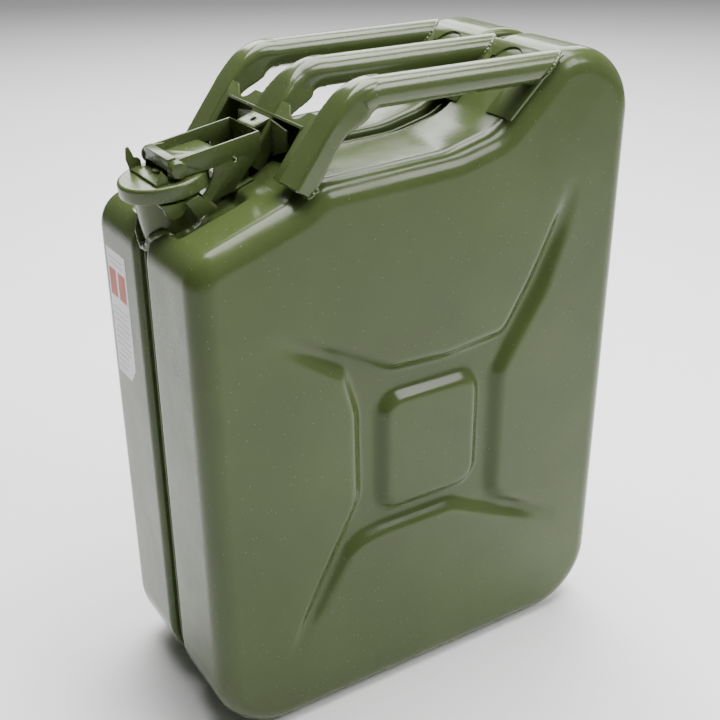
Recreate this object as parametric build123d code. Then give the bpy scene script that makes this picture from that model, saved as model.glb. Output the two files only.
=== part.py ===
from build123d import *
import os
from math import cos, sin, tan, radians, hypot

os.makedirs("parts", exist_ok=True)

# ---------------------------------------------------------------- dimensions
# A 20 litre pressed steel jerry can. Millimetres. +X along the width, spout
# end at -X; +Y through the thickness; +Z up. Origin: middle of the base.
WIDTH = 345.0
DEPTH = 165.0
HEIGHT = 470.0
SHEET = 1.0              # body steel
R_BASE = 53.5            # lower corners of the big panel
R_HUMP = 49.6            # rear top corner
R_SHOULDER = 24.0        # front top corner
R_EDGE = 16.0            # rounding from panel to narrow side
GROOVE_HALF = 8.5        # half width of the seam groove round the narrow sides
GROOVE_DEPTH = 9.0
FLANGE_H = 5.5           # weld flange standing in the groove
CHANNEL_DEPTH = 6.5      # pressed X channel in each panel

LID_C = (-152.5, 410.3)  # centre of the lid's top face (x, z)
LID_TILT = 8.2           # degrees, mouth leans to -X
LID_R = 29.0
LID_H = 9.8
NECK_R = 21.0
RIM_R = 25.6

PIVOT = (-150.5, 417.2)  # lever pivot (x, z), axis along Y
PIN = (-103.0, 409.0)    # lid hinge pin (x, z), axis along Y
PIN_R = 2.5
RUN = 0.05               # running clearance, radial
WALL_IN, WALL_OUT = 19.6, 21.1

TUBE_R = 10.0
TUBE_WALL = 1.5
TUBE_Y = 70.0
TUBE_Z = 460.0
PLATE_X0, PLATE_Z0 = -94.5, 411.0    # foot of the front handle plate
PLATE_SLOPE = 0.68                   # dx/dz of its front face

hw = WIDTH / 2


def save(shape, name):
    if hasattr(shape, "wrapped") and shape.wrapped is None:
        raise ValueError(name + " is empty")
    export_step(shape, "parts/" + name + ".step")


def solid_of(shape):
    """A Part made only of the solids in a result."""
    s = list(shape.solids())
    return s[0] if len(s) == 1 else Compound(children=s)


def biggest(shape):
    return max(shape.solids(), key=lambda s: s.volume)


def prism(pts, y0, y1):
    """Extrude an XZ polygon from y0 to y1 (y1 > y0)."""
    f = make_face(Polyline(*[(x, y1, z) for x, z in pts], close=True))
    return solid_of(extrude(f, amount=y1 - y0, dir=(0, -1, 0)))


def ycyl(r, x, z, y0, y1):
    return Location((x, (y0 + y1) / 2, z), (90, 0, 0)) * Cylinder(r, y1 - y0)


# ---------------------------------------------------------------- body outline
corners = [
    (-hw, 0, R_BASE), (-hw, 374.7, R_SHOULDER), (-97, 401, 14), (-82, 411, 24),
    (20, 415, 80), (57, 424, 40), (106, HEIGHT, 30), (hw, HEIGHT, R_HUMP), (hw, 0, R_BASE),
]


def outline_face(inset, y):
    """The side outline of the can, inset by so much, in the plane at y."""
    ln = FilletPolyline(*[(x, z) for x, z, _ in corners], radius=[r for _, _, r in corners], close=True)
    f = make_face(ln)
    if inset > 0:
        f = offset(f, amount=-inset)
    return Plane(origin=(0, y, 0), x_dir=(1, 0, 0), z_dir=(0, -1, 0)) * f


def slab(inset, y0, y1):
    """Outline slab from y0 (nearer -Y) to y1."""
    return solid_of(extrude(outline_face(inset, y1), amount=y1 - y0, dir=(0, -1, 0)))


def round_rim(body, y, r):
    es = [e for e in body.edges() if abs(e.center().Y - y) < 0.01 and abs(e.bounding_box().size.Y) < 0.01]
    return solid_of(fillet(es, r))


channel_pts = [
    (-127, 329), (-73, 301), (-28, 276), (17, 274), (60, 279), (81, 314), (94, 339), (111, 383),
    (128, 386), (119, 346), (102, 302), (76, 262), (65, 242), (65, 147), (75, 137), (100, 125), (134, 108),
    (129, 87), (90, 107), (44, 130), (23, 141), (-38, 141), (-53, 139), (-62, 132), (-85, 95), (-114, 51),
    (-129, 51), (-94, 118), (-68, 164), (-61, 180), (-62, 246), (-71, 276), (-99, 294), (-128, 312),
]
square_pts = [(-42, 159), (42, 159), (42, 251), (-42, 251)]


def channel(grow):
    """Solid that presses the X channel into the -Y panel, leaving the middle square."""
    y0 = -DEPTH / 2
    c = prism(channel_pts, y0 - 1, y0 + CHANNEL_DEPTH + grow)
    sq = prism([(x * (1 - grow / 42), 205 + (z - 205) * (1 - grow / 42)) for x, z in square_pts],
               y0 - 2, y0 + CHANNEL_DEPTH + grow + 1)
    if grow > 0:
        f = make_face(Polyline(*channel_pts, close=True))
        f = offset(f, amount=grow, kind=Kind.INTERSECTION)
        f = Plane(origin=(0, y0 + CHANNEL_DEPTH + grow, 0), x_dir=(1, 0, 0), z_dir=(0, -1, 0)) * f
        c = solid_of(extrude(f, amount=CHANNEL_DEPTH + grow + 1, dir=(0, -1, 0)))
    return c - sq


# shallow dish sunk in the sloping shoulder round the mouth
SH = 0.3455


def shoulder_z(x):
    return 374.7 + SH * (x + hw)


DISH = 7.0
DISH_HALF = 37.0


def dish(grow):
    pts = [(-161 - grow, shoulder_z(-161) + 3), (-156 - grow, shoulder_z(-156) - DISH - grow),
           (-115 + grow, shoulder_z(-115) - DISH - grow), (-109 + grow, shoulder_z(-109) + 3), (-135, 440)]
    return prism(pts, -DISH_HALF - grow, DISH_HALF + grow)


half_outer = round_rim(slab(0, -DEPTH / 2, -GROOVE_HALF), -DEPTH / 2, R_EDGE)
half_outer = round_rim(half_outer, -GROOVE_HALF, 5.0)
groove_outer = slab(GROOVE_DEPTH, -GROOVE_HALF - 3, 0)
half_inner = round_rim(slab(SHEET, -DEPTH / 2 + SHEET, -GROOVE_HALF - SHEET), -DEPTH / 2 + SHEET, R_EDGE - SHEET)
half_inner = round_rim(half_inner, -GROOVE_HALF - SHEET, 4.0)
groove_inner = slab(GROOVE_DEPTH + SHEET, -GROOVE_HALF - 5, 0.5)
rim_ring = slab(GROOVE_DEPTH - FLANGE_H, -1.0, 0) - slab(GROOVE_DEPTH + 0.5, -1.5, 0.5)

outer = half_outer + groove_outer - channel(0) - dish(0) + rim_ring
inner = half_inner + groove_inner - channel(SHEET) - dish(SHEET)
near = outer - inner
# dish cuts away the weld flange locally; keep only the shell itself
tilt = radians(LID_TILT)
ux, uz = -sin(tilt), cos(tilt)          # mouth axis, pointing out of the can


def on_axis(d):
    """A point on the mouth axis, d below the lid's top face."""
    return (LID_C[0] - ux * d, LID_C[1] - uz * d)


def disc(r, d0, d1, cx=0.0):
    """Cylinder about the mouth axis from d1 below the lid top up to d0 below it."""
    x, z = on_axis((d0 + d1) / 2)
    return Location((x, 0, z), (0, -LID_TILT, 0)) * (Location((cx, 0, 0)) * Cylinder(r, abs(d1 - d0)))


neck_hole = disc(NECK_R, 15, 60)
near = near - neck_hole
near_shell = biggest(near)
far_shell = solid_of(mirror(near_shell, about=Plane.XZ))
save(near_shell, "half_shell_near")
save(far_shell, "half_shell_far")

# ---------------------------------------------------------------- mouth
neck = disc(NECK_R, 6.5, 43) + disc(RIM_R, 3.9, 8.2) - disc(NECK_R - 1.5, 3, 50)
# flat sealing lip with a softened outer edge
lip = [e for e in neck.edges() if e.geom_type == GeomType.CIRCLE and abs(e.radius - RIM_R) < 0.01]
neck = fillet(lip, 1.2)
neck = solid_of(neck - near_shell - far_shell)
save(biggest(neck), "mouth_neck")
neck_solid = biggest(neck)

# air pipe: a flattened breather running from the mouth into the upper can
vent = disc(5.0, 15, 70, 12.5) - disc(4.0, 14, 71, 12.5)
save(solid_of(vent), "vent_tube")
vent_clip = disc(NECK_R - 1.5, 20, 24) - disc(NECK_R - 2.7, 19, 25) + (disc(6.2, 20, 24, 12.5) & disc(NECK_R - 1.5, 19, 25)) - disc(5.0, 19, 25, 12.5)
save(solid_of(vent_clip), "vent_clip")

# weld collar between shoulder and neck
collar = disc(NECK_R + 5, 19.5, 31) - disc(NECK_R, 19, 32)
collar = collar & disc(NECK_R + 5, 21.5, 30)
collar = collar - near_shell - far_shell
# keep only what lies above the dish floor
keep = prism([(-185, shoulder_z(-185) - DISH), (-120, shoulder_z(-120) - DISH),
              (-120, 440), (-185, 440)], -40, 40)
collar = collar & keep
save(biggest(collar), "neck_collar")

# lugs under which the lever's hooks draw the lid down
lugs = []
for s in (-1, 1):
    leaf = prism([(-165, 397.6), (-148.6, 398.4), (-149.6, 393.5), (-153, 389.5), (-158, 388.2), (-163, 391.5)],
                 26.2, 28.2)
    shelf = prism([(-165, 396.1), (-148.6, 396.9), (-148.6, 398.4), (-165, 397.6)], 12, 28.2)
    lug = leaf + shelf - disc(NECK_R, 0, 60)
    lug = biggest(lug)
    lugs.append(lug if s > 0 else mirror(lug, about=Plane.XZ))
save(Compound(children=lugs), "neck_lugs")

# ---------------------------------------------------------------- lid hinge
ear_pts = [(-112, shoulder_z(-112) - 2), (-96.6, shoulder_z(-96.6) + 0.1), (-98.3, 410.5), (-100.5, 413.3),
           (-105.5, 413.3), (-108, 410)]
foot_pts = [(-113, shoulder_z(-113) + 0.02), (-97.6, shoulder_z(-97.6) + 0.02),
            (-97.6, shoulder_z(-97.6) + 1.52), (-113, shoulder_z(-113) + 1.52)]
bracket = None
for s in (-1, 1):
    y0, y1 = (9.6, 11.6) if s > 0 else (-11.6, -9.6)
    f0, f1 = (9.6, 19.0) if s > 0 else (-19.0, -9.6)
    b = prism(ear_pts, y0, y1) + prism(foot_pts, f0, f1)
    bracket = b if bracket is None else bracket + b
bracket = bracket + prism(foot_pts, -9.7, 9.7)
bracket = bracket - ycyl(PIN_R + 0.01, PIN[0], PIN[1], -30, 30) - near_shell - far_shell
save(biggest(bracket), "hinge_bracket")
pin = ycyl(PIN_R, PIN[0], PIN[1], -12.6, 12.6) + ycyl(3.8, PIN[0], PIN[1], -14.0, -12.0 + 0.3) + ycyl(3.4, PIN[0], PIN[1], 11.7, 13.4)
save(solid_of(pin), "hinge_pin")

# ---------------------------------------------------------------- lid
cap = disc(LID_R, 0, LID_H)
cap = fillet([e for e in cap.edges() if e.geom_type == GeomType.CIRCLE and e.arc_center.Z > LID_C[1] - 3], 2.2)
cap = cap - disc(LID_R - 1.5, 1.5, LID_H + 1)
lid_hole = disc(3.02, -1, 3)
cap = cap - lid_hole
save(solid_of(cap), "lid_disc")
cap_solid = solid_of(cap)
gasket = disc(LID_R - 1.7, 1.5, 3.6) - disc(17.0, 1, 4)
save(solid_of(gasket), "lid_gasket")
retainer = disc(16.6, 1.5, 2.7) + (disc(18.6, 3.65, 4.6) & disc(18.6, 3, 5)) + disc(16.6, 2.6, 4.6) - lid_hole - disc(3.02, 0, 6)
save(solid_of(retainer), "gasket_retainer")

# cross strip lying on the lid, ends turned up as ears


def lid_z(x):
    return LID_C[1] + (x - LID_C[0]) * tan(tilt)


strip = prism([(-165.5, lid_z(-165.5) + 0.02), (-146, lid_z(-146) + 0.02),
               (-146, lid_z(-146) + 1.7), (-165.5, lid_z(-165.5) + 1.7)], -17.0, 17.0)
strip += prism([(-165.5, lid_z(-165.5) + 0.02), (-157.6, lid_z(-157.6) + 0.02),
                (-157.6, lid_z(-157.6) + 1.7), (-165.5, lid_z(-165.5) + 1.7)], -21.8, 21.8)
near_ear = prism([(-165.5, lid_z(-165.5) + 0.02), (-157.6, lid_z(-157.6) + 0.02), (-157.6, 413.5), (-161, 418)],
                 -21.8, -20.3)
far_ear = prism([(-165.5, lid_z(-165.5) + 0.02), (-157.6, lid_z(-157.6) + 0.02), (-157.8, 414.5), (-159.6, 416.4),
                 (-162.2, 416.8), (-163.4, 420), (-165.2, 424), (-167.0, 423.2), (-167.6, 416)], 20.3, 21.8)
strip = strip + near_ear + far_ear
strip = strip - disc(3.02, -3, 3)
save(biggest(strip), "lid_yoke")
lid_rivet = disc(3.0, -2.5, 6.0) + disc(5.5, -3.2, -1.72) + disc(5.0, 4.62, 6.2)
save(solid_of(lid_rivet), "lid_rivet")

# carrier: bent strip with a front wall, raised floor and an arm to the hinge pin
T = 1.5
floor_pts = [(-155.6, 416.2), (-155.6, 423.6), (-150.2, 424.5), (-150.2, 423.0), (-154.1, 422.3), (-154.1, 417.6),
             (-149, 417.9), (-120, 422.3), (-115.5, 421.2), (-104.5, 413.6), (-106, 411.6), (-116, 419.7),
             (-120, 420.8), (-149, 416.4)]
carrier = prism(floor_pts[:], -18.9, 18.9)
# narrow the arm behind the floor
for s in (-1, 1):
    y0, y1 = (8.9, 20) if s > 0 else (-20, -8.9)
    carrier -= prism([(-116.5, 430), (-116.5, 405), (-95, 405), (-95, 430)], y0, y1)
# window in the floor where the lever's nose can be reached
for s in (-1, 1):
    y0, y1 = (17.4, 18.9) if s > 0 else (-18.9, -17.4)
    side = prism([(-155.6, lid_z(-155.6) + 0.02), (-144.5, lid_z(-144.5) + 0.02), (-142, 418), (-142, 424),
                  (-155.6, 423.6)], y0, y1)
    carrier = carrier + side
knuckle = ycyl(4.3, PIN[0], PIN[1], -9.2, 9.2)
carrier = carrier + knuckle - ycyl(PIN_R + RUN, PIN[0], PIN[1], -30, 30)
PIV_R = 3.0
for s in (-1, 1):
    y0, y1 = (15.2, 17.4) if s > 0 else (-17.4, -15.2)
    carrier -= prism([(-154.1, 411), (-145.0, 411), (-145.0, 421.8), (-154.1, 421.8)], y0, y1)
    y0, y1 = (15.2, 25) if s > 0 else (-25, -15.2)
    carrier = carrier - ycyl(PIV_R + 0.01, PIVOT[0], PIVOT[1], y0, y1)
carrier = carrier - strip
carrier = biggest(carrier)
save(carrier, "lid_carrier")

rivets = []
for s in (-1, 1):
    def yy(a, b):
        return (a, b) if s > 0 else (-b, -a)
    r = ycyl(PIV_R, PIVOT[0], PIVOT[1], *yy(16.4, 22.0)) + ycyl(3.5, PIVOT[0], PIVOT[1], *yy(15.9, 17.4))
    head = Location((PIVOT[0], s * 21.35, PIVOT[1])) * Sphere(6.0)
    head = head & ycyl(7, PIVOT[0], PIVOT[1], *yy(21.35, 24.9))
    r = r + head
    rivets.append(biggest(r))
save(Compound(children=rivets), "pivot_rivets")

# ---------------------------------------------------------------- lever
lever = None
wall_pts = [(PIVOT[0], PIVOT[1] + 6.1), (-94, 433), (-92.6, 431), (-92.6, 420.5), (-94, 419), (-113.2, 397.4),
            (-131.6, 391.4), (-141.5, 400.8), (-147, 408), (PIVOT[0], PIVOT[1] - 6.1)]
clear_lid = disc(LID_R + 0.7, -0.45, LID_H + 0.7)
for s in (-1, 1):
    def yy(a, b):
        return (a, b) if s > 0 else (-b, -a)
    w = prism(wall_pts, *yy(WALL_IN, WALL_OUT)) + ycyl(6.1, PIVOT[0], PIVOT[1], *yy(WALL_IN, WALL_OUT))
    # clearance round the lid's rim: a round-ended relief
    w = w - clear_lid
    w = w - ycyl(5.8, -134.6, 407.6, *yy(WALL_IN - 1, WALL_OUT + 1))
    w = w - prism([(-160, 399.2), (-137, 402.6), (-137, 410), (-160, 408)], *yy(WALL_IN - 1, WALL_OUT + 1))
    w = w - (ycyl(25.0, PIVOT[0], PIVOT[1], *yy(WALL_IN - 1, WALL_OUT + 1))
             & prism([(-185, lid_z(-185) + 0.45), (-120, lid_z(-120) + 0.45), (-120, 380), (-185, 380)],
                     *yy(WALL_IN - 1, WALL_OUT + 1)))
    w = w - ycyl(PIV_R + RUN, PIVOT[0], PIVOT[1], *yy(10, 30))
    w = w - ycyl(2.2, -111, 418, *yy(10, 30))
    w = biggest(w)
    # hook: a shelf bent outwards and a flap bent down beside the neck lug
    shelf = prism([(-137.6, 398.6), (-131.0, 392.1), (-129.9, 393.2), (-136.5, 399.8)], *yy(WALL_OUT - 0.4, 31.2))
    flap = prism([(-150.5, 398.4), (-141.5, 402.0), (-130.0, 391.9), (-131.0, 390.8), (-143.2, 387.4)], *yy(29.8, 31.3))
    w = w + shelf + flap
    lever = w if lever is None else lever + w
rear = prism([(-94, 419.4), (-94, 433), (-92.6, 432.6), (-92.6, 419.6)], -WALL_OUT, WALL_OUT)
lever = lever + rear
lever = solid_of(lever)
save(biggest(lever), "lever_frame")
lever_solid = biggest(lever)

tongue = prism([(-92.6, 431.4), (-80.9, 435.4), (-79.5, 435.4), (-79.5, 437.1), (-80.9, 437.3), (-92.6, 433.1)], -11.5, 11.5)
tongue = tongue - Location((-86.6, 0, 434)) * Cylinder(2.2, 12)
tplate_face = make_face(Polyline((-79.5, -12, 437.1), (-79.5, -34, 434), (-79.5, -34, 421), (-79.5, -11, 411.6),
                                 (-79.5, 11, 411.6), (-79.5, 34, 421), (-79.5, 34, 434), (-79.5, 12, 437.1), close=True))
tplate = extrude(tplate_face, amount=1.4, dir=(-1, 0, 0))
thumb = biggest(tongue + solid_of(tplate))
save(thumb, "thumb_plate")

# ---------------------------------------------------------------- handles
nx, nz = cos(radians(34.216)), -sin(radians(34.216))     # into the plate, away from the spout
L = hypot(PLATE_SLOPE, 1.0)
dx, dz = PLATE_SLOPE / L, 1 / L


def plate_pt(s, off=0.0):
    """A point s up the plate's face, off behind it."""
    return (PLATE_X0 + dx * s + dz * off, PLATE_Z0 + dz * s - dx * off)


PL = 54.0
sheet_pts = [plate_pt(-4), plate_pt(PL), plate_pt(PL, 1.5), plate_pt(-4, 1.5)]
plate = prism(sheet_pts, -79.5, 79.5)
for s in (-1, 1):
    y0, y1 = (78.0, 79.5) if s > 0 else (-79.5, -78.0)
    plate = plate + prism([plate_pt(-4), plate_pt(PL), plate_pt(PL, 10), plate_pt(-2, 10)], y0, y1)
# two rounded windows between the arms
pl = Plane(origin=(PLATE_X0, 0, PLATE_Z0), x_dir=(0, 1, 0), z_dir=(dz, 0, -dx))
for s in (-1, 1):
    win = FilletPolyline((s * 14, 80), (s * 20, 46), (s * 36, 31), (s * 52, 46), (s * 58, 80), radius=[14, 12, 14])
    wf = make_face(win + Line((s * 58, 80), (s * 14, 80)))
    win_solid = extrude(pl * wf, amount=6, both=True)
    plate = plate - win_solid
# the lower middle of the plate is set back to clear the thumb plate
recess = prism([(-120, 400), (-71.5, 400), (-71.5, 436), (-76.2, 438.6), (-120, 438.6)], -50, 50)
plate = plate - recess
back = prism([(-71.5, 405), (-71.5, 436.5), (-77.2, 437.2), (-76.2, 438.7), (-70, 438.0), (-70, 405)], -51.5, 51.5)
for s in (-1, 1):
    y0, y1 = (50, 51.5) if s > 0 else (-51.5, -50)
    back = back + prism([plate_pt(-2, 0.2), plate_pt(33, 0.2), (-70, 438), (-70, 405)], y0, y1)
for s in (-1, 1):
    win = FilletPolyline((s * 14, 80), (s * 20, 46), (s * 36, 31), (s * 52, 46), (s * 58, 80), radius=[14, 12, 14])
    wf = make_face(win + Line((s * 58, 80), (s * 14, 80)))
    back = back - extrude(pl * wf, amount=8, both=True)
plate = plate + back

# three tubes with a bend down into the front plate


def tube(y, r):
    c0 = plate_pt(33, TUBE_R)
    t = (TUBE_Z - c0[1]) / dz
    knee = (c0[0] + dx * t, TUBE_Z)
    path = FilletPolyline((c0[0], y, c0[1]), (knee[0], y, knee[1]), (112, y, TUBE_Z), radius=22)
    sec = Plane(origin=(c0[0], y, c0[1]), z_dir=(dx, 0, dz)) * Circle(r)
    return solid_of(sweep(sec, path=path))


hump_cut = [(57, 424 + 1.6), (60, 424), (106.2, 467.6), (112, 469), (125, 475), (125, 400), (40, 400)]
seat = prism([(60, 428.4), (98.5, 464.6), (104, 468.6), (112, 472.0), (130, 472), (130, 400), (60, 400)], -90, 90)
tubes = {}
cutters = []
for nm, y in (("near", -TUBE_Y), ("centre", 0.0), ("far", TUBE_Y)):
    solid_tube = tube(y, TUBE_R)
    hollow = solid_tube - tube(y, TUBE_R - TUBE_WALL)
    hollow = hollow - seat
    tubes[nm] = biggest(hollow)
    cutters.append(solid_tube)
for c in cutters:
    plate = plate - c
plate = plate - near_shell - far_shell
plate_solid = biggest(plate)
save(plate_solid, "handle_front_plate")
for nm in tubes:
    t = tubes[nm] - near_shell - far_shell
    save(biggest(t), "handle_tube_" + nm)

# rear plate on the slope of the hump, scalloped between the tubes
rp = prism([(62.4, 430.6), (98.5, 464.6), (104, 468.6), (105, 467.4), (99.6, 463.5), (63.5, 429.5)], -79, 79)
for s in (-1, 1):
    rp = rp - Location((70, s * 35, 440), (0, 47, 0)) * Box(30, 34, 60)
    rp = rp - Location((84, s * 35, 450), (0, 0, 0)) * Cylinder(17, 80)
rp = rp - near_shell - far_shell
save(biggest(rp), "handle_rear_plate")

# ---------------------------------------------------------------- label
lab = [(-hw - 0.12, 30, 346), (-hw - 0.12, 64, 346), (-hw - 0.12, 64, 250), (-hw - 0.12, 40, 250), (-hw - 0.12, 30, 262)]
lf = make_face(Polyline(*lab, close=True))
save(solid_of(extrude(lf, amount=0.12, dir=(1, 0, 0))), "hazard_label")
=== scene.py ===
import math
import bpy
import bmesh
import numpy as np
from mathutils import Matrix, Vector


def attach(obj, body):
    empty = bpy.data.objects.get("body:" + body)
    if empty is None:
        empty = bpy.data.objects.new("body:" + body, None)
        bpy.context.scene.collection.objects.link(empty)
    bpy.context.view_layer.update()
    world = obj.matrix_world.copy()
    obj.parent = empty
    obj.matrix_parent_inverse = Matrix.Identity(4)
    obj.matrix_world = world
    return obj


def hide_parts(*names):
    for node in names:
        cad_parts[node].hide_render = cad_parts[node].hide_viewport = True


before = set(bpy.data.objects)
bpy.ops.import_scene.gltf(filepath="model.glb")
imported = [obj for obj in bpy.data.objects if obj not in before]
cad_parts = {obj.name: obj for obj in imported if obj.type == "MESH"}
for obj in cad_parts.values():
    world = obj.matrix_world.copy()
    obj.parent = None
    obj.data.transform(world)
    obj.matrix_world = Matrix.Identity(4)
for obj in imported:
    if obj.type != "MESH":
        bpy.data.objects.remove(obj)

scene = bpy.context.scene
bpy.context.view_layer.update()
rng = np.random.default_rng(7)
MM = 0.001


# ------------------------------------------------------------------ helpers
def link(ob):
    scene.collection.objects.link(ob)
    return ob


def mesh_obj(name, verts, faces, smooth=True, sharp=None):
    """verts in millimetres."""
    me = bpy.data.meshes.new(name)
    me.from_pydata((np.asarray(verts, float) * MM).tolist(), [], [tuple(int(i) for i in f) for f in faces])
    me.update()
    me.polygons.foreach_set("use_smooth", [smooth] * len(me.polygons))
    if sharp:
        me.set_sharp_from_angle(angle=math.radians(sharp))
    return link(bpy.data.objects.new(name, me))


def sstep(t):
    t = np.clip(t, 0, 1)
    return t * t * (3 - 2 * t)


def apply_mods(ob):
    dg = bpy.context.evaluated_depsgraph_get()
    me = bpy.data.meshes.new_from_object(ob.evaluated_get(dg))
    ob.modifiers.clear()
    ob.data = me
    return ob


def bevelled(ob, width, seg=2, angle=32, sharp=40):
    m = ob.modifiers.new("b", "BEVEL")
    m.width = width * MM
    m.segments = seg
    m.limit_method = "ANGLE"
    m.angle_limit = math.radians(angle)
    m.use_clamp_overlap = True
    m.miter_outer = "MITER_ARC"
    apply_mods(ob)
    ob.data.polygons.foreach_set("use_smooth", [True] * len(ob.data.polygons))
    ob.data.set_sharp_from_angle(angle=math.radians(sharp))
    return ob


def cad_copy(node, name, bevel=0.35, seg=2, angle=32, sharp=40):
    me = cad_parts[node].data.copy()
    ob = link(bpy.data.objects.new(name, me))
    me.name = name
    ob.data.materials.clear()
    if "custom_normal" in me.attributes:
        me.attributes.remove(me.attributes["custom_normal"])
    bm = bmesh.new()
    bm.from_mesh(me)
    bmesh.ops.remove_doubles(bm, verts=bm.verts, dist=2e-6)
    bmesh.ops.dissolve_limit(bm, angle_limit=math.radians(0.6), verts=bm.verts, edges=bm.edges)
    bmesh.ops.recalc_face_normals(bm, faces=bm.faces)
    bm.to_mesh(me)
    bm.free()
    for a in [a.name for a in me.attributes if a.name.startswith("sharp")]:
        me.attributes.remove(me.attributes[a])
    if bevel:
        bevelled(ob, bevel, seg, angle, sharp)
    else:
        me.polygons.foreach_set("use_smooth", [True] * len(me.polygons))
        me.set_sharp_from_angle(angle=math.radians(sharp))
    return ob


def grid_faces(rows, cols, wrap=True):
    """Quads between rows of cols points."""
    f = []
    for r in range(rows - 1):
        a = r * cols
        b = a + cols
        for c in range(cols if wrap else cols - 1):
            d = (c + 1) % cols
            f.append((a + c, a + d, b + d, b + c))
    return f


def give(ob, body, nodes, mat):
    ob.data.materials.clear()
    ob.data.materials.append(mat)
    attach(ob, body)
    if nodes:
        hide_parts(*nodes)
    return ob


# ------------------------------------------------------------------ materials
def nodes_of(mat):
    mat.use_nodes = True
    nt = mat.node_tree
    nt.nodes.clear()
    out = nt.nodes.new("ShaderNodeOutputMaterial")
    bs = nt.nodes.new("ShaderNodeBsdfPrincipled")
    nt.links.new(bs.outputs[0], out.inputs[0])
    return nt, bs


def noise(nt, coord, scale, detail=2.0, rough=0.5):
    n = nt.nodes.new("ShaderNodeTexNoise")
    n.inputs["Scale"].default_value = scale
    n.inputs["Detail"].default_value = detail
    n.inputs["Roughness"].default_value = rough
    nt.links.new(coord, n.inputs["Vector"])
    return n.outputs["Fac"]


def ramp(nt, fac, lo, hi, a=0.0, b=1.0):
    m = nt.nodes.new("ShaderNodeMapRange")
    m.inputs["From Min"].default_value = lo
    m.inputs["From Max"].default_value = hi
    m.inputs["To Min"].default_value = a
    m.inputs["To Max"].default_value = b
    nt.links.new(fac, m.inputs["Value"])
    return m.outputs["Result"]


def mixc(nt, fac, a, b):
    m = nt.nodes.new("ShaderNodeMix")
    m.data_type = "RGBA"
    for v, s in ((a, 6), (b, 7)):
        if isinstance(v, (tuple, list)):
            m.inputs[s].default_value = (*v, 1)
        else:
            nt.links.new(v, m.inputs[s])
    if isinstance(fac, float):
        m.inputs[0].default_value = fac
    else:
        nt.links.new(fac, m.inputs[0])
    return m.outputs[2]


def mul(nt, a, b):
    m = nt.nodes.new("ShaderNodeMath")
    m.operation = "MULTIPLY"
    for v, s in ((a, 0), (b, 1)):
        if isinstance(v, float):
            m.inputs[s].default_value = v
        else:
            nt.links.new(v, m.inputs[s])
    return m.outputs[0]


def paint(name, base, rough=(0.15, 0.26), orange=0.10, specks=0.35, wear=0.08, coat=0.0, spec=0.38):
    """Glossy enamel over steel: slow tone drift, orange peel, fine light specks, worn edges."""
    mat = bpy.data.materials.new(name)
    nt, bs = nodes_of(mat)
    co = nt.nodes.new("ShaderNodeTexCoord").outputs["Object"]
    drift = noise(nt, co, 9, 3, 0.55)
    dark = tuple(c * 0.86 for c in base)
    light = tuple(min(1, c * 1.12) for c in base)
    col = mixc(nt, ramp(nt, drift, 0.3, 0.7), dark, light)
    fine = noise(nt, co, 900, 2, 0.6)
    col = mixc(nt, ramp(nt, fine, 0.35, 0.75, 0, 0.16), col, tuple(min(1, c * 1.7) for c in base))
    # dust specks caught in the enamel
    vo = nt.nodes.new("ShaderNodeTexVoronoi")
    vo.inputs["Scale"].default_value = 330
    nt.links.new(co, vo.inputs["Vector"])
    spot = ramp(nt, vo.outputs["Distance"], 0.10, 0.16, 1, 0)
    pick = nt.nodes.new("ShaderNodeSeparateColor")
    nt.links.new(vo.outputs["Color"], pick.inputs[0])
    some = ramp(nt, pick.outputs[0], 0.80, 0.83)
    spk = mul(nt, mul(nt, spot, some), float(specks))
    col = mixc(nt, spk, col, (0.36, 0.40, 0.24))
    # worn edges
    geo = nt.nodes.new("ShaderNodeNewGeometry")
    edge = ramp(nt, geo.outputs["Pointiness"], 0.56, 0.66)
    scratch = ramp(nt, noise(nt, co, 140, 5, 0.7), 0.50, 0.62)
    worn = mul(nt, mul(nt, edge, scratch), float(wear))
    col = mixc(nt, worn, col, (0.26, 0.28, 0.20))
    nt.links.new(col, bs.inputs["Base Color"])
    rg = ramp(nt, noise(nt, co, 26, 4, 0.6), 0.3, 0.7, rough[0], rough[1])
    nt.links.new(rg, bs.inputs["Roughness"])
    bs.inputs["IOR"].default_value = 1.43
    bs.inputs["Specular IOR Level"].default_value = spec
    bs.inputs["Coat Weight"].default_value = coat
    bs.inputs["Coat Roughness"].default_value = 0.07
    # orange peel and a trace of unevenness in the pressed sheet
    b1 = nt.nodes.new("ShaderNodeBump")
    b1.inputs["Strength"].default_value = orange
    b1.inputs["Distance"].default_value = 0.0006
    nt.links.new(noise(nt, co, 260, 2, 0.5), b1.inputs["Height"])
    b2 = nt.nodes.new("ShaderNodeBump")
    b2.inputs["Strength"].default_value = 0.22
    b2.inputs["Distance"].default_value = 0.004
    nt.links.new(noise(nt, co, 16, 2, 0.5), b2.inputs["Height"])
    nt.links.new(b1.outputs[0], b2.inputs["Normal"])
    b3 = nt.nodes.new("ShaderNodeBump")
    b3.inputs["Strength"].default_value = 0.25
    b3.inputs["Distance"].default_value = 0.0003
    nt.links.new(mul(nt, spot, some), b3.inputs["Height"])
    nt.links.new(b2.outputs[0], b3.inputs["Normal"])
    nt.links.new(b3.outputs[0], bs.inputs["Normal"])
    nt.links.new(b1.outputs[0], bs.inputs["Coat Normal"])
    return mat


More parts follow.
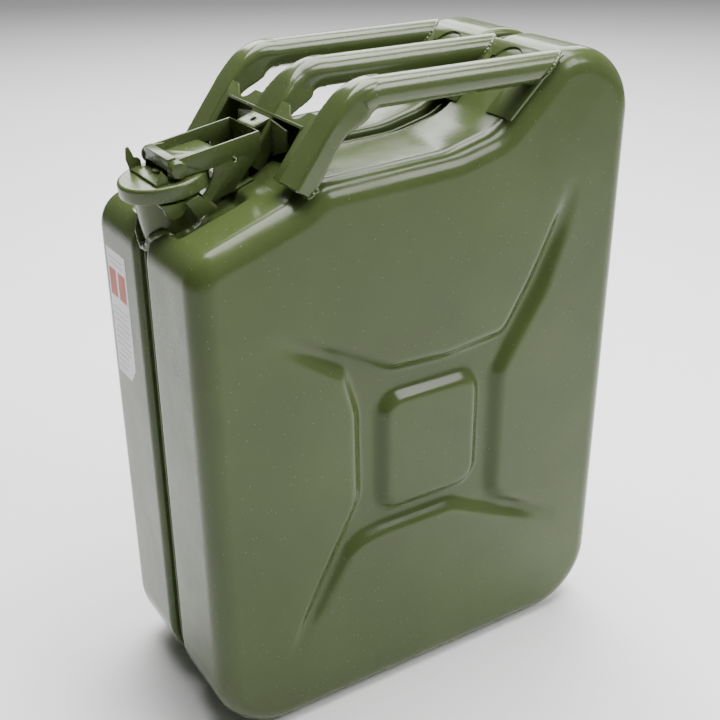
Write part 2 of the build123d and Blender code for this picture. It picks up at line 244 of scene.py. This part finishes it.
def plain(name, base, rough, metal=0.0, scale=300, bump=0.15, vary=0.12, dist=0.0004):
    mat = bpy.data.materials.new(name)
    nt, bs = nodes_of(mat)
    co = nt.nodes.new("ShaderNodeTexCoord").outputs["Object"]
    f = noise(nt, co, scale, 4, 0.6)
    col = mixc(nt, ramp(nt, f, 0.3, 0.7), tuple(c * (1 - vary) for c in base), tuple(min(1, c * (1 + vary)) for c in base))
    nt.links.new(col, bs.inputs["Base Color"])
    nt.links.new(ramp(nt, noise(nt, co, scale * 0.2, 3, 0.6), 0.3, 0.7, rough * 0.8, min(1, rough * 1.25)), bs.inputs["Roughness"])
    bs.inputs["Metallic"].default_value = metal
    bs.inputs["Specular IOR Level"].default_value = 0.5 if metal else 0.25
    b = nt.nodes.new("ShaderNodeBump")
    b.inputs["Strength"].default_value = bump
    b.inputs["Distance"].default_value = dist
    nt.links.new(f, b.inputs["Height"])
    nt.links.new(b.outputs[0], bs.inputs["Normal"])
    return mat


OLIVE = (0.056, 0.078, 0.0235)
M_SHELL = paint("enamel_shell", OLIVE)
M_HANDLE = paint("enamel_handle", tuple(c * 1.04 for c in OLIVE), orange=0.08, wear=0.08, spec=0.6, coat=0.1)
M_CLOSE = paint("enamel_closure", tuple(c * 1.02 for c in OLIVE), rough=(0.20, 0.32), orange=0.10, wear=0.03, coat=0.0, spec=0.55)
M_WELD = paint("enamel_weld", tuple(c * 0.98 for c in OLIVE), rough=(0.13, 0.24), orange=0.25, wear=0.06, spec=0.6)
M_PIN = paint("enamel_pin", tuple(c * 0.95 for c in OLIVE), rough=(0.20, 0.30), orange=0.14, wear=0.30, coat=0.1)
M_INNER = plain("bare_steel", (0.45, 0.45, 0.44), 0.32, metal=1.0, scale=500)
M_RUBBER = plain("rubber", (0.02, 0.02, 0.02), 0.65, scale=420, bump=0.25)
M_LABEL = plain("label_white", (0.80, 0.81, 0.80), 0.38, scale=160, bump=0.08, vary=0.03)
M_ORANGE = plain("label_orange", (0.44, 0.045, 0.008), 0.38, scale=160, bump=0.08, vary=0.08)
M_GREY = plain("label_grey", (0.48, 0.49, 0.50), 0.42, scale=160, bump=0.08, vary=0.05)

# ------------------------------------------------------------------ body outline
W, D, H = 345.0, 165.0, 470.0
hw = W / 2
CORN = [(-hw, 0, 53.5), (-hw, 374.7, 24), (-97, 401, 14), (-82, 411, 24), (20, 415, 80), (57, 424, 40),
        (106, H, 30), (hw, H, 49.6), (hw, 0, 53.5)]


def outline(step=1.9, astep=2.2):
    pts, nrm = [], []
    n = len(CORN)
    info = []
    for i in range(n):
        p = np.array(CORN[i][:2], float)
        a = np.array(CORN[i - 1][:2], float)
        b = np.array(CORN[(i + 1) % n][:2], float)
        d0 = (p - a) / np.linalg.norm(p - a)
        d1 = (b - p) / np.linalg.norm(b - p)
        cr = d0[0] * d1[1] - d0[1] * d1[0]
        turn = math.atan2(cr, d0 @ d1)
        t = CORN[i][2] * math.tan(abs(turn) / 2)
        info.append((p, d0, d1, turn, t, CORN[i][2]))
    for i in range(n):
        p, d0, d1, turn, t, R = info[i]
        s = p - d0 * t
        left = np.array([-d0[1], d0[0]])
        sign = 1 if turn > 0 else -1
        c = s + left * R * sign
        k = max(3, int(math.ceil(max(abs(math.degrees(turn)) / astep, R * abs(turn) / step))))
        for j in range(k):
            a = turn * j / k
            ca, sa = math.cos(a), math.sin(a)
            v = s - c
            pts.append(c + np.array([v[0] * ca - v[1] * sa, v[0] * sa + v[1] * ca]))
            nrm.append(np.array([left[0] * ca - left[1] * sa, left[0] * sa + left[1] * ca]))
        q = info[(i + 1) % n]
        e0 = p + d1 * t
        e1 = q[0] - q[1] * q[4]
        ln = np.linalg.norm(e1 - e0)
        left = np.array([-d1[1], d1[0]])
        k = max(1, int(round(ln / step)))
        for j in range(k):
            pts.append(e0 + (e1 - e0) * j / k)
            nrm.append(left)
    return np.array(pts), np.array(nrm)


C, NRM = outline()
N = len(C)

# ------------------------------------------------------------------ pressed panel
CH = [(-127, 331), (-73, 302), (-28, 278), (17, 276), (63, 281), (83, 314), (96, 339), (113, 383),
      (131, 386), (121, 346), (104, 301), (78, 261), (67, 242), (67, 145), (76, 135), (100, 123), (134, 106),
      (129, 85), (90, 105), (44, 128), (23, 139), (-38, 139), (-53, 137), (-63, 131), (-85, 93), (-114, 49),
      (-129, 49), (-95, 118), (-70, 164), (-63, 179), (-64, 246), (-72, 275), (-99, 293), (-128, 310)]
ENDS = [(-128, 320), (122, 385), (132, 95), (-122, 49)]
GX = np.arange(-176, 176.1, 1.0)
GZ = np.arange(-4, 474.1, 1.0)
XX, ZZ = np.meshgrid(GX, GZ)


def poly_sdf(poly, X, Z):
    """Signed distance, positive inside."""
    d = np.full(X.shape, 1e9)
    inside = np.zeros(X.shape, bool)
    m = len(poly)
    for i in range(m):
        ax, az = poly[i]
        bx, bz = poly[(i + 1) % m]
        ex, ez = bx - ax, bz - az
        t = np.clip(((X - ax) * ex + (Z - az) * ez) / (ex * ex + ez * ez), 0, 1)
        d = np.minimum(d, np.hypot(X - ax - t * ex, Z - az - t * ez))
        cond = ((az > Z) != (bz > Z)) & (X < (bx - ax) * (Z - az) / (bz - az + 1e-12) + ax)
        inside ^= cond
    return np.where(inside, d, -d)


def blur(F, s):
    r = int(3 * s)
    k = np.exp(-0.5 * (np.arange(-r, r + 1) / s) ** 2)
    k /= k.sum()
    P = np.pad(F, r, mode="edge")
    P = np.apply_along_axis(lambda v: np.convolve(v, k, "valid"), 0, P)
    return np.apply_along_axis(lambda v: np.convolve(v, k, "valid"), 1, P)


DEPTH = 7.0
sd = poly_sdf(CH, XX, ZZ)
sd = blur(sd, 3.0)
chan = sstep(sd / 10.5)
for ex, ez in ENDS:
    r = np.hypot(XX - ex, ZZ - ez)
    chan = chan * (0.10 + 0.90 * sstep((r - 4) / 55.0))
bx = np.abs(XX - 3.0) - (37.0 - 11)
bz = np.abs(ZZ - 204.5) - (41.5 - 11)
box = np.hypot(np.maximum(bx, 0), np.maximum(bz, 0)) + np.minimum(np.maximum(bx, bz), 0) - 11
chan = chan * sstep(box / 8.0)
chan = blur(chan, 2.0)
pillow = 0.7 * (1 - sstep((np.minimum.reduce([XX + hw, hw - XX, ZZ, 470 - ZZ]) - 14) / 70.0))
HGT = chan * DEPTH + pillow


def height(x, z):
    i = np.clip((np.asarray(x) - GX[0]), 0, len(GX) - 1.001)
    j = np.clip((np.asarray(z) - GZ[0]), 0, len(GZ) - 1.001)
    i0, j0 = i.astype(int), j.astype(int)
    fi, fj = i - i0, j - j0
    return (HGT[j0, i0] * (1 - fi) * (1 - fj) + HGT[j0, i0 + 1] * fi * (1 - fj)
            + HGT[j0 + 1, i0] * (1 - fi) * fj + HGT[j0 + 1, i0 + 1] * fi * fj)


# mouth axis
LC = (-152.5, 410.3)
TL = math.radians(8.2)
UX, UZ = -math.sin(TL), math.cos(TL)
SH = 0.3455


def shoulder(x):
    return 374.7 + SH * (x + hw)


def dish(x, z, y):
    """Depth of the dish round the mouth, measured from the shoulder."""
    near = sstep((z - shoulder(x) + 26) / 10.0)
    return 7.0 * sstep((38.5 - np.abs(y)) / 7.0) * sstep((x + 162.5) / 7.0) * sstep((-108.0 - x) / 8.0) * near


def half_shell(name, side):
    RIN = 16.0
    edge0 = float(1.0)
    Cin = C - NRM * RIN
    cen = np.array([20.0, 230.0])
    rings = []
    K = 112
    for k in range(1, K + 1):
        t = (k / K) ** 0.92
        p = cen + (Cin - cen) * t
        y = -D / 2 + height(p[:, 0], p[:, 1])
        rings.append(np.column_stack([p[:, 0], y, p[:, 1]]))
    yb = rings[-1][:, 1]
    prof = []
    for a in np.radians(np.linspace(0, 90, 13)[1:]):
        prof.append((-66.5 - 16 * math.cos(a), RIN - 16 * math.sin(a), math.cos(a)))
    for y in np.linspace(-66.5, -13.5, 28)[1:]:
        prof.append((y, 0.0, 0.0))
    for a in np.radians(np.linspace(0, 90, 8)[1:]):
        prof.append((-13.5 + 5 * math.sin(a), 5 - 5 * math.cos(a), 0.0))
    prof += [(-8.5, 7.0, 0.0), (-8.2, 8.2, 0.0), (-7.4, 8.8, 0.0), (-6.0, 9.0, 0.0), (-2.6, 9.0, 0.0),
             (-1.6, 8.7, 0.0), (-1.15, 8.0, 0.0), (-1.0, 6.5, 0.0), (-1.0, 4.2, 0.0), (-0.85, 3.8, 0.0),
             (-0.5, 3.6, 0.0), (-0.16, 3.75, 0.0), (-0.06, 4.4, 0.0)]
    for y, ins, w in prof:
        yy = np.full(N, y) + (yb + D / 2) * w
        p = C - NRM * ins
        flange = y > -1.62
        if not flange:
            dd = dish(p[:, 0], p[:, 1] + ins, yy)
            tot = np.maximum(ins, dd)
            soft = np.logaddexp(ins * 1.6, dd * 1.6) / 1.6 - math.log(2) / 1.6
            tot = np.where(dd > 0.01, np.maximum(soft, ins), ins)
            p = C - NRM * tot[:, None]
        rings.append(np.column_stack([p[:, 0], yy, p[:, 1]]))
    V = np.vstack(rings)
    R = len(rings)
    # slight unevenness of a pressed sheet
    wob = 0.10 * (np.sin(V[:, 0] * 0.031 + 1.3) * np.sin(V[:, 2] * 0.027 + 0.4)) * sstep((-V[:, 1] - 60) / 20)
    V[:, 1] += np.abs(wob)
    faces = grid_faces(R, N)
    V = np.vstack([V, [[cen[0], -D / 2 + float(height(*cen)), cen[1]]]])
    ci = len(V) - 1
    faces += [(ci, (c + 1) % N, c) for c in range(N)]
    # opening for the mouth
    dx = V[:, 0] - LC[0]
    dz = V[:, 2] - LC[1]
    along = dx * UX + dz * UZ
    rad = np.hypot(dx - along * UX, np.hypot(dz - along * UZ, V[:, 1]))
    gone = (rad < 22.6) & (along < -8) & (along > -60) & (V[:, 2] > 362.5)
    faces = [f for f in faces if not all(gone[i] for i in f)]
    used = np.zeros(len(V), bool)
    for f in faces:
        used[list(f)] = True
    idx = np.cumsum(used) - 1
    V = V[used]
    faces = [tuple(idx[i] for i in f) for f in faces]
    if side > 0:
        V = V * np.array([1, -1, 1])
        faces = [f[::-1] for f in faces]
    ob = mesh_obj(name, V, faces)
    bm = bmesh.new()
    bm.from_mesh(ob.data)
    bmesh.ops.recalc_face_normals(bm, faces=bm.faces)
    bm.to_mesh(ob.data)
    bm.free()
    return ob


near = give(half_shell("shell_near", -1), "can", ["half_shell_near"], M_SHELL)
far = give(half_shell("shell_far", 1), "can", ["half_shell_far"], M_SHELL)


# ------------------------------------------------------------------ round parts
def axis_pt(r, d, a):
    """Mouth axis coordinates (radius, distance below the lid's top, angle) to the frame."""
    x0, z0 = LC[0] - UX * d, LC[1] - UZ * d
    return (x0 + r * math.cos(a) * UZ, r * math.sin(a), z0 - r * math.cos(a) * UX)


def lathe(name, prof, seg=128, closed=True):
    V, F = [], []
    for r, d in prof:
        for k in range(seg):
            V.append(axis_pt(r, d, 2 * math.pi * k / seg))
    n = len(prof)
    F = grid_faces(n, seg)
    if closed:
        F += [((n - 1) * seg + k, (n - 1) * seg + (k + 1) % seg, (k + 1) % seg, k) for k in range(seg)]
    ob = mesh_obj(name, V, F)
    bm = bmesh.new()
    bm.from_mesh(ob.data)
    bmesh.ops.remove_doubles(bm, verts=bm.verts, dist=1e-6)
    bmesh.ops.recalc_face_normals(bm, faces=bm.faces)
    bm.to_mesh(ob.data)
    bm.free()
    ob.data.polygons.foreach_set("use_smooth", [True] * len(ob.data.polygons))
    ob.data.set_sharp_from_angle(angle=math.radians(50))
    return ob


def arc(cx, cy, r, a0, a1, n=6):
    return [(cx + r * math.cos(math.radians(a0 + (a1 - a0) * i / n)), cy + r * math.sin(math.radians(a0 + (a1 - a0) * i / n))) for i in range(n + 1)]


# mouth tube with a rolled lip; radius, depth below the lid's top
neck = lathe("mouth_tube", [(19.5, 43)] + [(19.5, 7.0)] + arc(20.7, 5.2, 1.2, 180, 270, 5) + arc(24.2, 5.4, 1.4, 270, 360, 5)
             + arc(24.2, 6.8, 1.4, 0, 90, 4) + [(22.4, 8.2)] + arc(22.4, 9.6, 1.4, 270, 180, 4) + [(21.0, 42.6), (20.4, 43)])
give(neck, "can", ["mouth_neck"], M_SHELL)


# lid pressing: rolled skirt, flat top with a shallow step
lidp = ([(2.99, 1.5), (2.99, 0.25), (3.3, 0.05), (21.5, 0.05), (23.0, 0.12), (24.2, 0.05)] + arc(26.6, 2.4, 2.38, 270, 360, 8)
        + [(28.98, 6.8)] + arc(28.3, 9.1, 0.68, 0, 90, 4) + arc(28.15, 9.1, 0.68, 90, 180, 4) + [(27.5, 3.2), (27.1, 1.9), (26.4, 1.55)])
lid = lathe("lid_pressing", lidp, seg=160)
give(lid, "lid", ["lid_disc"], M_CLOSE)
gas = lathe("sealing_ring", [(17.05, 3.5), (17.05, 1.62), (27.2, 1.62), (27.25, 2.6)] + arc(26.6, 3.0, 0.6, 0, 90, 3) + [(22.5, 3.4), (21.0, 3.15), (19.5, 3.4), (18.0, 3.6)], seg=128)
give(gas, "lid", ["lid_gasket"], M_RUBBER)
give(cad_copy("gasket_retainer", "dished_washer", 0.2), "lid", ["gasket_retainer"], M_INNER)

# ------------------------------------------------------------------ closure, from the CAD solids with their edges rounded
for node, nm, body, sl, mt, bv in (
        ("neck_lugs", "mouth_lugs", "can", "closure_paint", M_CLOSE, 0.5),
        ("vent_tube", "air_pipe", "can", "inner_steel", M_INNER, 0.2),
        ("vent_clip", "air_pipe_clip", "can", "inner_steel", M_INNER, 0.2),
        ("hinge_bracket", "lid_hinge_bracket", "can", "closure_paint", M_CLOSE, 0.45),
        ("hinge_pin", "lid_hinge_pin", "can", "pin_steel", M_PIN, 0.5),
        ("lid_yoke", "cross_strip", "lid", "closure_paint", M_CLOSE, 0.5),
        ("lid_rivet", "lid_centre_rivet", "lid", "closure_paint", M_CLOSE, 0.4),
        ("lid_carrier", "lid_arm", "lid", "closure_paint", M_CLOSE, 0.55),
        ("pivot_rivets", "lever_rivets", "lid", "pin_steel", M_PIN, 0.3),
        ("lever_frame", "cam_lever", "lever", "closure_paint", M_CLOSE, 0.45),
        ("thumb_plate", "thumb_tab", "lever", "closure_paint", M_CLOSE, 0.45),
        ("handle_rear_plate", "handle_rear", "can", "handle_paint", M_HANDLE, 0.5)):
    give(cad_copy(node, nm, bv), body, [node], mt)

# ------------------------------------------------------------------ handle tubes
PX, PZ, SL = -94.5, 411.0, 0.68
LL = math.hypot(SL, 1)
dx, dz = SL / LL, 1 / LL


def plate_pt(s, off=0.0):
    return np.array([PX + dx * s + dz * off, PZ + dz * s - dx * off])


def tube_path():
    c0 = plate_pt(33, 10)
    t = (460 - c0[1]) / dz
    knee = np.array([c0[0] + dx * t, 460.0])
    d0 = np.array([dx, dz])
    d1 = np.array([1.0, 0])
    turn = math.acos(d0 @ d1)
    R = 22.0
    tl = R * math.tan(turn / 2)
    s = knee - d0 * tl
    right = np.array([d0[1], -d0[0]])
    c = s + right * R
    pts = [c0 + (s - c0) * k / 6 for k in range(6)]
    for k in range(17):
        a = -turn * k / 16
        v = s - c
        pts.append(c + np.array([v[0] * math.cos(a) - v[1] * math.sin(a), v[0] * math.sin(a) + v[1] * math.cos(a)]))
    e = knee + d1 * tl
    xe = 108.0
    pts += [np.array([e[0] + (xe - e[0]) * k / 40, 460.0]) for k in range(1, 41)]
    return np.array(pts)


def hump_z(x):
    xs = [40, 62.4, 98.5, 104, 112, 130]
    zs = [425.0, 430.4, 464.4, 468.4, 471.8, 472]
    return np.interp(x, xs, zs)


def tube(name, y0, node):
    P = tube_path()[12:]
    T = np.gradient(P, axis=0)
    T /= np.linalg.norm(T, axis=1)[:, None]
    Nn = np.column_stack([-T[:, 1], T[:, 0]])
    seg = 64
    V = []
    for (x, z), (nx, nz) in zip(P, Nn):
        for k in range(seg):
            a = 2 * math.pi * k / seg
            V.append([x + nx * 10 * math.sin(a), y0 + 10 * math.cos(a), z + nz * 10 * math.sin(a)])
    V = np.array(V).reshape(len(P), seg, 3)
    # rear end cut on the slope of the hump: each line along the tube stops at the plate
    i0 = 14
    for k in range(seg):
        zk = V[i0, k, 2]
        xe = float(np.interp(zk, [430.4, 464.4, 468.4, 471.8], [62.4, 98.5, 104, 112]))
        xs = V[i0, k, 0]
        V[i0:, k, 0] = xs + (xe - xs) * np.linspace(0, 1, len(P) - i0)
    rows = [V[r] for r in range(len(P))]
    # closed ends
    a = rows[0].mean(0)
    b = rows[-1].mean(0)
    allv = np.vstack(rows + [a[None], b[None]])
    F = grid_faces(len(rows), seg)
    n0 = len(rows) * seg
    F += [(n0, (k + 1) % seg, k) for k in range(seg)]
    o = (len(rows) - 1) * seg
    F += [(n0 + 1, o + k, o + (k + 1) % seg) for k in range(seg)]
    ob = mesh_obj(name, allv, F, sharp=50)
    bm = bmesh.new()
    bm.from_mesh(ob.data)
    bmesh.ops.recalc_face_normals(bm, faces=bm.faces)
    bm.to_mesh(ob.data)
    bm.free()
    give(ob, "can", [node], M_HANDLE)
    return rows[-1]


ENDR = {}
for nm, y0 in (("near", -70.0), ("centre", 0.0), ("far", 70.0)):
    ENDR[nm] = tube("tube_" + nm, y0, "handle_tube_" + nm)


def bead(name, path, r, closed=False, amp=0.35, freq=0.9, body="can"):
    """A weld bead: a round section along a line, with an uneven ripple."""
    P = np.array(path, float)
    if closed:
        P = np.vstack([P, P[:1]])
    seg = np.linalg.norm(np.diff(P, axis=0), axis=1)
    s = np.concatenate([[0], np.cumsum(seg)])
    n = max(8, int(s[-1] / 0.8))
    u = np.linspace(0, s[-1], n + 1)
    Q = np.column_stack([np.interp(u, s, P[:, i]) for i in range(3)])
    if closed:
        Q = Q[:-1]
    T = (np.roll(Q, -1, 0) - np.roll(Q, 1, 0)) if closed else np.gradient(Q, axis=0)
    T /= np.linalg.norm(T, axis=1)[:, None]
    ref = np.array([0.13, 0.21, 0.97])
    A = np.cross(T, ref)
    A /= np.linalg.norm(A, axis=1)[:, None]
    B = np.cross(T, A)
    m = 12
    ph = rng.uniform(0, 6, 3)
    V = []
    for i in range(len(Q)):
        rr = r * (1 + amp * 0.5 * math.sin(u[i] * freq * 2.2 + ph[0]) + amp * 0.4 * math.sin(u[i] * freq * 0.8 + ph[1]))
        if not closed:
            e = min(i, len(Q) - 1 - i) / 3.0
            rr *= min(1.0, 0.25 + 0.75 * math.sqrt(min(1, e)))
        for k in range(m):
            a = 2 * math.pi * k / m
            V.append(Q[i] + rr * (A[i] * math.cos(a) + B[i] * math.sin(a)))
    F = grid_faces(len(Q), m)
    if closed:
        o = (len(Q) - 1) * m
        F += [(o + k, o + (k + 1) % m, (k + 1) % m, k) for k in range(m)]
    else:
        V += [Q[0], Q[-1]]
        c0, c1 = len(V) - 2, len(V) - 1
        o = (len(Q) - 1) * m
        F += [(c0, (k + 1) % m, k) for k in range(m)] + [(c1, o + k, o + (k + 1) % m) for k in range(m)]
    ob = mesh_obj(name, V, F)
    bm = bmesh.new()
    bm.from_mesh(ob.data)
    bmesh.ops.recalc_face_normals(bm, faces=bm.faces)
    bm.to_mesh(ob.data)
    bm.free()
    give(ob, body, [], M_WELD)
    return ob


for nm in ENDR:
    ring = ENDR[nm].copy()
    c = ring.mean(0)
    ring = ring + (ring - c) / np.linalg.norm(ring - c, axis=1)[:, None] * 0.3
    ring[:, 2] = np.minimum(ring[:, 2], 468.2)
    bead("weld_tube_" + nm, ring, 1.1, closed=True)

# ------------------------------------------------------------------ weld fillet round the foot of the mouth
_up = C[C[:, 1] > 300]
_up = _up[np.argsort(_up[:, 0])]


def top_z(x):
    return float(np.interp(x, _up[:, 0], _up[:, 1]))


def skin_z(x, y):
    """Height of the shells' top surface, with the groove and the dish."""
    g = 6.5 * float(sstep((10.5 - abs(y)) / 6.0))
    d = float(dish(np.array(x), np.array(top_z(x)), np.array(y)))
    return top_z(x) - max(g, d)


ringp = []
for k in range(120):
    a = 2 * math.pi * k / 120
    lo, hi = 12.0, 45.0
    for _ in range(30):
        m = (lo + hi) / 2
        q = axis_pt(22.2, m, a)
        if q[2] > skin_z(q[0], q[1]):
            lo = m
        else:
            hi = m
    ringp.append(axis_pt(22.0, lo + 0.2, a))
ringp = np.array(ringp)
for _ in range(3):
    ringp = (np.roll(ringp, 1, 0) + 2 * ringp + np.roll(ringp, -1, 0)) / 4
wr = bead("mouth_weld", ringp, 3.1, closed=True, amp=0.10, freq=0.5)
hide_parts("neck_collar")

# ------------------------------------------------------------------ front plate of the handle
fp = cad_copy("handle_front_plate", "handle_front", 0)
me = fp.data
nv = len(me.vertices)
cv = np.zeros(nv * 3)
me.vertices.foreach_get("co", cv)
cv = cv.reshape(-1, 3) / MM
ss = (cv[:, 0] - PX) * dx + (cv[:, 2] - PZ) * dz
oo = (cv[:, 0] - PX) * dz - (cv[:, 2] - PZ) * dx
flat = (oo < 2.2) & ((np.abs(cv[:, 1]) > 49.9) | (cv[:, 2] > 437.5))
fl = (oo >= 2.2) & (np.abs(cv[:, 1]) > 77)
sn = np.where(flat | fl, np.minimum(ss, 43.0), ss)
fwd = np.clip(4.6 - 2.6 * sn / 60.0, 0, 6)
on = np.where(flat, oo - fwd + 0.4, np.where(fl, np.minimum(oo, 7.5), oo))
cv[:, 0] = PX + dx * sn + dz * on
cv[:, 2] = PZ + dz * sn - dx * on
me.vertices.foreach_set("co", (cv * MM).ravel())
me.update()
bevelled(fp, 0.4)
give(fp, "can", ["handle_front_plate"], M_HANDLE)


def arm(name, y0, wide, n_low, n_mid):
    """A pressed arm of the front plate: boxy at its foot, rounded where it takes the tube's end."""
    P = tube_path()
    # from the foot up to the end of the bend
    foot = plate_pt(-3, 10)
    st = P[0]
    low = [foot + (st - foot) * k / 24 for k in range(24)]
    Q = np.array(low + list(P[:24]))
    seg = np.linalg.norm(np.diff(Q, axis=0), axis=1)
    u = np.concatenate([[0], np.cumsum(seg)]) - 3
    T = np.gradient(Q, axis=0)
    T /= np.linalg.norm(T, axis=1)[:, None]
    Nn = np.column_stack([T[:, 1], -T[:, 0]])      # towards the back of the plate
    m = 72
    V = []
    uend = u[-1]
    for i in range(len(Q)):
        t = float(sstep((u[i] - 40) / 24.0))
        t2 = float(sstep((u[i] - 50) / (uend - 50)))
        a = wide + (10.45 - wide) * t
        fwd = max(0.0, (4.6 - 2.6 * u[i] / 60.0)) * (1 - t2) * (1 - 0.3 * t)
        f0 = -fwd                     # front face, from the plate's face
        r1 = 9.0 + (20.45 - 9.0) * float(sstep((u[i] - 36) / 24.0))
        f0 = f0 + (-0.45) * t2
        b = (r1 - f0) / 2
        c = (r1 + f0) / 2 - 10
        n = n_low + (n_mid - n_low) * t
        n = n + (2.0 - n) * t2
        for k in range(m):
            th = 2 * math.pi * k / m
            ct, st_ = math.cos(th), math.sin(th)
            r = (abs(ct / a) ** n + abs(st_ / b) ** n) ** (-1.0 / n)
            o = c + r * st_
            V.append((Q[i, 0] + Nn[i, 0] * o, y0 + r * ct, min(469.9, Q[i, 1] + Nn[i, 1] * o)))
    rows = len(Q)
    # a turned-in rim at the knee, so that the end reads as sheet against the tube
    last = np.array(V[-m:])
    cc = last.mean(0)
    inner = cc + (last - cc) * 0.9
    V += [tuple(v) for v in inner]
    first = np.array(V[:m])
    F = grid_faces(rows + 1, m)
    V.append(tuple(first.mean(0)))
    F += [(len(V) - 1, (k + 1) % m, k) for k in range(m)]
    ob = mesh_obj(name, V, F)
    bm = bmesh.new()
    bm.from_mesh(ob.data)
    bmesh.ops.recalc_face_normals(bm, faces=bm.faces)
    bm.to_mesh(ob.data)
    bm.free()
    ob.data.set_sharp_from_angle(angle=math.radians(60))
    give(ob, "can", [], M_HANDLE)
    # weld where the foot meets the shells
    A = np.array(V[:rows * m]).reshape(rows, m, 3)
    line = []
    for k in range(m):
        prev = None
        for i in range(rows):
            g = A[i, k, 2] - top_z(A[i, k, 0])
            if prev is not None and prev < 0 <= g:
                f = -prev / (g - prev)
                line.append(A[i - 1, k] + (A[i, k] - A[i - 1, k]) * f)
                break
            prev = g
    return line


for nm, y0, wide, nl, nmid in (("near", -68.7, 11.6, 16, 5.0), ("centre", 0.0, 14.6, 16, 3.0), ("far", 68.7, 11.6, 16, 5.0)):
    ln = arm("arm_" + nm, y0, wide, nl, nmid)
    if nm != "centre" and len(ln) > 20:
        bead("weld_arm_" + nm, ln, 1.5, closed=True, amp=0.5, freq=0.8)

# ------------------------------------------------------------------ label with plain squares and rules
def tile(name, y0, y1, z0, z1, t0, t1, mat, cut=None):
    """A thin leaf on the narrow side, from t0 to t1 outside the steel."""
    if cut:
        pts = cut
    else:
        pts = [(y0, z0), (y1, z0), (y1, z1), (y0, z1)]
    n = len(pts)
    V = [(-hw - t0, y, z) for y, z in pts] + [(-hw - t1, y, z) for y, z in pts]
    F = [tuple(range(n)), tuple(range(2 * n - 1, n - 1, -1))] + [(i, i + n, (i + 1) % n + n, (i + 1) % n) for i in range(n)]
    ob = mesh_obj(name, V, F, smooth=False)
    bm = bmesh.new()
    bm.from_mesh(ob.data)
    bmesh.ops.recalc_face_normals(bm, faces=bm.faces)
    bm.to_mesh(ob.data)
    bm.free()
    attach(ob, "can")
    ob.data.materials.append(mat)
    return ob


lab = tile("label_sheet", 0, 0, 0, 0, 0.01, 0.12, M_LABEL,
           cut=[(64, 346), (64, 250), (40, 250), (30, 262), (30, 346)])
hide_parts("hazard_label")
tile("label_square_a", 49.5, 62, 311, 331.5, 0.11, 0.15, M_ORANGE)
tile("label_square_b", 33, 46, 311, 331.5, 0.11, 0.15, M_ORANGE)
for i in range(11):
    z = 302 - i * 4.6
    y1 = 61 - (5 if i % 4 == 3 else 0)
    y0 = 34 if z > 268 else 42
    tile("label_rule_%02d" % i, y0 + (3 if i % 3 == 1 else 0), y1, z - 0.55, z + 0.55, 0.11, 0.14, M_GREY)
for i in range(2):
    tile("label_rule_t%d" % i, 36, 60, 339.5 - i * 4, 340.5 - i * 4, 0.11, 0.14, M_GREY)

# ------------------------------------------------------------------ stage
fm = bpy.data.materials.new("floor")
nt, bs = nodes_of(fm)
co = nt.nodes.new("ShaderNodeTexCoord").outputs["Object"]
nt.links.new(mixc(nt, ramp(nt, noise(nt, co, 3, 3), 0.3, 0.7), (0.86, 0.86, 0.86), (0.88, 0.88, 0.88)), bs.inputs["Base Color"])
bs.inputs["Roughness"].default_value = 0.9
floor = mesh_obj("floor", [(-9000, -9000, -0.4), (9000, -9000, -0.4), (9000, 9000, -0.4), (-9000, 9000, -0.4)], [(0, 1, 2, 3)], smooth=False)
floor.data.materials.append(fm)

world = bpy.data.worlds.new("studio")
scene.world = world
world.use_nodes = True
wn = world.node_tree
bg = wn.nodes["Background"]
bg.inputs[1].default_value = 0.35
tc = wn.nodes.new("ShaderNodeTexCoord").outputs["Generated"]
sep = wn.nodes.new("ShaderNodeSeparateXYZ")
wn.links.new(tc, sep.inputs[0])
gx = wn.nodes.new("ShaderNodeMapRange")
gx.inputs["From Min"].default_value = -0.9
gx.inputs["From Max"].default_value = 0.6
gx.inputs["To Min"].default_value = 0.0
gx.inputs["To Max"].default_value = 1.0
wn.links.new(sep.outputs[0], gx.inputs["Value"])
cr = wn.nodes.new("ShaderNodeMix")
cr.data_type = "RGBA"
cr.inputs[6].default_value = (0.06, 0.06, 0.06, 1)
cr.inputs[7].default_value = (1, 1, 1, 1)
wn.links.new(gx.outputs[0], cr.inputs[0])
wn.links.new(cr.outputs[2], bg.inputs[0])


def area(name, loc, target, sx, sy, power):
    li = bpy.data.lights.new(name, "AREA")
    li.shape = "RECTANGLE"
    li.size, li.size_y = sx, sy
    li.energy = power
    ob = link(bpy.data.objects.new(name, li))
    ob.location = loc
    ob.rotation_euler = (Vector(target) - Vector(loc)).to_track_quat("-Z", "Y").to_euler()
    return ob


area("top_box", (0.25, 0.15, 1.9), (0.0, 0.0, 0.3), 1.6, 1.3, 85)
area("back_box", (1.05, 1.75, 1.75), (0.0, 0.0, 0.4), 2.4, 1.3, 70)
area("front_box", (1.15, -1.45, 1.85), (0.0, 0.0, 0.25), 1.1, 0.9, 36)

# ------------------------------------------------------------------ camera
az, el, ro = math.radians(-31.8), math.radians(26.56), math.radians(-0.36)
back = Vector((math.sin(az) * math.cos(el), -math.cos(az) * math.cos(el), math.sin(el)))
right = Vector((math.cos(az), math.sin(az), 0))
up = back.cross(right)
R2 = right * math.cos(ro) + up * math.sin(ro)
U2 = -right * math.sin(ro) + up * math.cos(ro)
cam = bpy.data.cameras.new("cam")
cam.lens = 56.09
cam.sensor_width = 36
cam.sensor_fit = "HORIZONTAL"
cam.clip_start = 0.05
cam.clip_end = 50
co = link(bpy.data.objects.new("cam", cam))
mw = Matrix.Identity(4)
for i in range(3):
    mw[i][0], mw[i][1], mw[i][2] = R2[i], U2[i], back[i]
mw[0][3], mw[1][3], mw[2][3] = -0.4079, -0.6477, 0.6200
co.matrix_world = mw
scene.camera = co
